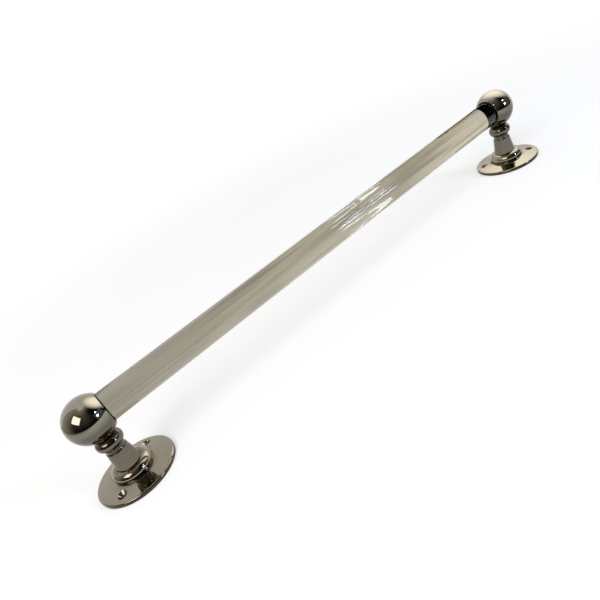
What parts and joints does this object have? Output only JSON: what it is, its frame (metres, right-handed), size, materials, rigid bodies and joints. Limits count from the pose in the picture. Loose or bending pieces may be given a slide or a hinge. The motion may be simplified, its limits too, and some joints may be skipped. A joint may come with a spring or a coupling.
{
  "type": "grab rail",
  "caption": "Wall grab rail: a solid clear rod turning loose in the sockets of ball-ended turned posts on domed round flanges with countersunk screw holes.",
  "frame": {"origin": "on the wall plane, midway between the two posts", "axes": "+X along the rail from the left post to the right post, +Z out of the wall, +Y across the rail"},
  "size_m": [0.568, 0.068, 0.0815],
  "materials": {
    "clear_rod": "clear, polished",
    "polished_nickel": "warm nickel plate on brass, mirror polished",
    "dark_sleeve": "thin dark sleeve, matt",
    "cushion": "matt",
    "plain_brass": "turned, unplated",
    "plain_steel": "pressed, plain"
  },
  "bodies": {
    "posts": {"left_ball": "polished_nickel", "left_liner": "dark_sleeve", "left_pad": "cushion", "left_collar": "polished_nickel", "left_pillar": "polished_nickel", "left_stud": "plain_brass", "left_washer": "plain_steel", "left_spring": "plain_steel", "left_nut": "plain_brass", "right_ball": "polished_nickel", "right_liner": "dark_sleeve", "right_pad": "cushion", "right_collar": "polished_nickel", "right_pillar": "polished_nickel", "right_stud": "plain_brass", "right_washer": "plain_steel", "right_spring": "plain_steel", "right_nut": "plain_brass"},
    "rail": {"rail_rod": "clear_rod"},
    "left_base": {"left_flange": "polished_nickel"},
    "right_base": {"right_flange": "polished_nickel"}
  },
  "joints": [
    {"name": "rail_turn", "type": "hinge", "parent": "posts", "child": "rail", "pos_m": [0, 0, 0.06198], "axis": [1, 0, 0], "continuous": true},
    {"name": "left_flange_turn", "type": "hinge", "parent": "posts", "child": "left_base", "pos_m": [-0.25, 0, 0], "axis": [0, 0, 1], "continuous": true},
    {"name": "right_flange_turn", "type": "hinge", "parent": "posts", "child": "right_base", "pos_m": [0.25, 0, 0], "axis": [0, 0, 1], "continuous": true}
  ]
}
